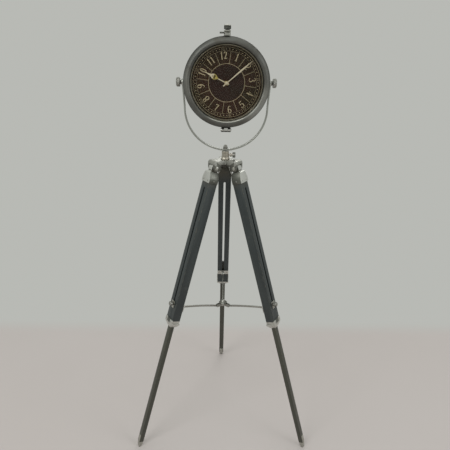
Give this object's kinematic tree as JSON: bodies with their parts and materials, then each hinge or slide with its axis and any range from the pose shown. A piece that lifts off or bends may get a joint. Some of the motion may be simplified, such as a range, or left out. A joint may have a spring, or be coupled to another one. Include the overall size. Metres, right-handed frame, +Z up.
{
  "type": "tripod floor clock",
  "caption": "Round drum clock with a hinged glass door, held in a swivelling yoke on a folding, telescoping wooden tripod with a spreader.",
  "frame": {"origin": "centre of the bounding box at floor level, between the feet", "axes": "+Z up from the floor, -Y towards the viewer of the dial, +X to the right of the dial"},
  "size_m": [0.6844, 0.5926, 1.5714],
  "materials": {
    "leg_wood": "black painted hardwood, satin",
    "satin_nickel": "satin nickel plate",
    "bright_nickel": "polished nickel plate",
    "dark_nickel": "dark nickel, polished",
    "dial_paint": "matte dark brown with aged cream print",
    "hand_metal": "pale gilt, satin",
    "gear_brass": "plain brass",
    "lens": "clear flat glass",
    "movement_plastic": "black moulded",
    "battery_sleeve": "printed sleeve, satin"
  },
  "bodies": {
    "head": {"tripod_head": "satin_nickel", "socket_post": "satin_nickel", "leg_bolt_rear": "bright_nickel", "leg_bolt_left": "bright_nickel", "leg_bolt_right": "bright_nickel"},
    "leg_rear": {"upper_leg_rear": "leg_wood", "leg_cap_rear": "satin_nickel", "bottom_collar_rear": "bright_nickel", "spreader_bracket_rear": "bright_nickel", "lock_plate_rear": "satin_nickel"},
    "leg_left": {"upper_leg_left": "leg_wood", "leg_cap_left": "satin_nickel", "bottom_collar_left": "bright_nickel", "spreader_bracket_left": "bright_nickel", "lock_plate_left": "satin_nickel"},
    "leg_right": {"upper_leg_right": "leg_wood", "leg_cap_right": "satin_nickel", "bottom_collar_right": "bright_nickel", "spreader_bracket_right": "bright_nickel", "lock_plate_right": "satin_nickel"},
    "lower_rear": {"lower_leg_rear": "leg_wood", "foot_tip_rear": "satin_nickel"},
    "lock_rear": {"lock_knob_rear": "satin_nickel"},
    "arm_rear": {"spreader_arm_rear": "bright_nickel"},
    "lower_left": {"lower_leg_left": "leg_wood", "foot_tip_left": "satin_nickel"},
    "lock_left": {"lock_knob_left": "satin_nickel"},
    "arm_left": {"spreader_arm_left": "bright_nickel"},
    "lower_right": {"lower_leg_right": "leg_wood", "foot_tip_right": "satin_nickel"},
    "lock_right": {"lock_knob_right": "satin_nickel"},
    "arm_right": {"spreader_arm_right": "bright_nickel"},
    "hub": {"spreader_hub": "bright_nickel"},
    "clamp": {"mast_clamp_knob": "satin_nickel"},
    "yoke": {"yoke": "bright_nickel", "yoke_spigot": "bright_nickel", "yoke_nut": "satin_nickel"},
    "drum": {"drum_case": "dark_nickel", "rear_cover": "dark_nickel", "dial_plate": "dial_paint", "movement_housing": "movement_plastic", "battery": "battery_sleeve", "drive_unit": "movement_plastic", "bushing_nut": "gear_brass", "hinge_leaf_drum": "bright_nickel", "hinge_pin": "bright_nickel", "latch_bracket": "satin_nickel"},
    "tilt_left": {"tilt_knob_left": "bright_nickel"},
    "tilt_right": {"tilt_knob_right": "bright_nickel"},
    "latch": {"latch_screw": "satin_nickel"},
    "door": {"bezel_ring": "dark_nickel", "glass_lens": "lens", "hinge_leaf_bezel": "bright_nickel", "latch_lug": "satin_nickel"},
    "minute_train": {"minute_hand": "hand_metal", "minute_arbor": "gear_brass"},
    "hour_train": {"hour_hand": "hand_metal", "hour_wheel": "gear_brass"},
    "transfer_wheel": {"minute_wheel": "gear_brass"},
    "setting": {"set_knob": "movement_plastic"}
  },
  "joints": [
    {"name": "leg_fold_rear", "type": "hinge", "parent": "head", "child": "leg_rear", "pos_m": [0, -0.04786, 1.12], "axis": [1, 0, 0], "range_deg": [-15.4, 0]},
    {"name": "leg_fold_left", "type": "hinge", "parent": "head", "child": "leg_left", "pos_m": [-0.03984, -0.11686, 1.12], "axis": [-0.5, 0.866, 0], "range_deg": [-15.4, 0]},
    {"name": "leg_fold_right", "type": "hinge", "parent": "head", "child": "leg_right", "pos_m": [0.03984, -0.11686, 1.12], "axis": [-0.5, -0.866, 0], "range_deg": [-15.4, 0]},
    {"name": "leg_slide_rear", "type": "slide", "parent": "leg_rear", "child": "lower_rear", "axis": [0, 0.2905, -0.9569], "range_m": [-0.3, 0.03]},
    {"name": "leg_slide_left", "type": "slide", "parent": "leg_left", "child": "lower_left", "axis": [-0.2516, -0.1452, -0.9569], "range_m": [-0.3, 0.03]},
    {"name": "leg_slide_right", "type": "slide", "parent": "leg_right", "child": "lower_right", "axis": [0.2516, -0.1452, -0.9569], "range_m": [-0.3, 0.03]},
    {"name": "lock_turn_rear", "type": "hinge", "parent": "leg_rear", "child": "lock_rear", "pos_m": [0, 0.11957, 0.62008], "axis": [0, 0.9569, 0.2905], "continuous": true},
    {"name": "lock_turn_left", "type": "hinge", "parent": "leg_left", "child": "lock_left", "pos_m": [-0.18484, -0.20058, 0.62008], "axis": [-0.8287, -0.4784, 0.2905], "continuous": true},
    {"name": "lock_turn_right", "type": "hinge", "parent": "leg_right", "child": "lock_right", "pos_m": [0.18484, -0.20058, 0.62008], "axis": [0.8287, -0.4784, 0.2905], "continuous": true},
    {"name": "arm_pivot_rear", "type": "hinge", "parent": "leg_rear", "child": "arm_rear", "pos_m": [0, 0.08345, 0.59449], "axis": [1, 0, 0], "range_deg": [0, 87.4]},
    {"name": "arm_pivot_left", "type": "hinge", "parent": "leg_left", "child": "arm_left", "pos_m": [-0.15356, -0.18252, 0.59449], "axis": [-0.5, 0.866, 0], "range_deg": [0, 87.4]},
    {"name": "arm_pivot_right", "type": "hinge", "parent": "leg_right", "child": "arm_right", "pos_m": [0.15356, -0.18252, 0.59449], "axis": [-0.5, -0.866, 0], "range_deg": [0, 87.4]},
    {"name": "hub_lift", "type": "slide", "parent": "head", "child": "hub", "axis": [0, 0, 1], "range_m": [-0.131, 0]},
    {"name": "clamp_turn", "type": "hinge", "parent": "head", "child": "clamp", "pos_m": [0.03, -0.09386, 1.16], "axis": [1, 0, 0], "continuous": true},
    {"name": "yoke_swivel", "type": "hinge", "parent": "head", "child": "yoke", "pos_m": [0, -0.09386, 1.18], "axis": [0, 0, 1], "continuous": true},
    {"name": "drum_tilt", "type": "hinge", "parent": "yoke", "child": "drum", "pos_m": [0, -0.09386, 1.4], "axis": [1, 0, 0], "range_deg": [-60, 34]},
    {"name": "tilt_knob_turn_left", "type": "hinge", "parent": "drum", "child": "tilt_left", "pos_m": [-0.157, -0.09386, 1.4], "axis": [-1, 0, 0], "continuous": true},
    {"name": "tilt_knob_turn_right", "type": "hinge", "parent": "drum", "child": "tilt_right", "pos_m": [0.157, -0.09386, 1.4], "axis": [1, 0, 0], "continuous": true},
    {"name": "latch_turn", "type": "hinge", "parent": "drum", "child": "latch", "pos_m": [0, -0.13486, 1.56], "axis": [0, 0, 1], "continuous": true},
    {"name": "door_swing", "type": "hinge", "parent": "drum", "child": "door", "pos_m": [0, -0.12487, 1.251], "axis": [-1, 0, 0], "range_deg": [-100, 0]},
    {"name": "minute_turn", "type": "hinge", "parent": "drum", "child": "minute_train", "pos_m": [0, -0.09386, 1.4], "axis": [0, 1, 0], "continuous": true},
    {"name": "hour_turn", "type": "hinge", "parent": "drum", "child": "hour_train", "pos_m": [0, -0.09386, 1.4], "axis": [0, 1, 0], "continuous": true},
    {"name": "transfer_turn", "type": "hinge", "parent": "drum", "child": "transfer_wheel", "pos_m": [0.006, -0.09386, 1.41039], "axis": [0, 1, 0], "continuous": true},
    {"name": "setting_turn", "type": "hinge", "parent": "drum", "child": "setting", "pos_m": [0.01759, -0.09386, 1.4135], "axis": [0, 1, 0], "continuous": true}
  ],
  "couplings": [
    {"joint": "leg_fold_left", "follows": "leg_fold_rear", "ratio": 1},
    {"joint": "leg_fold_right", "follows": "leg_fold_rear", "ratio": 1},
    {"joint": "arm_pivot_rear", "follows": "leg_fold_rear", "ratio": -5.6698},
    {"joint": "arm_pivot_left", "follows": "leg_fold_rear", "ratio": -5.6698},
    {"joint": "arm_pivot_right", "follows": "leg_fold_rear", "ratio": -5.6698},
    {"joint": "hub_lift", "follows": "leg_fold_rear", "m_per_rad": 0.48694},
    {"joint": "hour_turn", "follows": "minute_turn", "ratio": 0.083333},
    {"joint": "transfer_turn", "follows": "minute_turn", "ratio": -0.33333},
    {"joint": "setting_turn", "follows": "minute_turn", "ratio": 1}
  ]
}
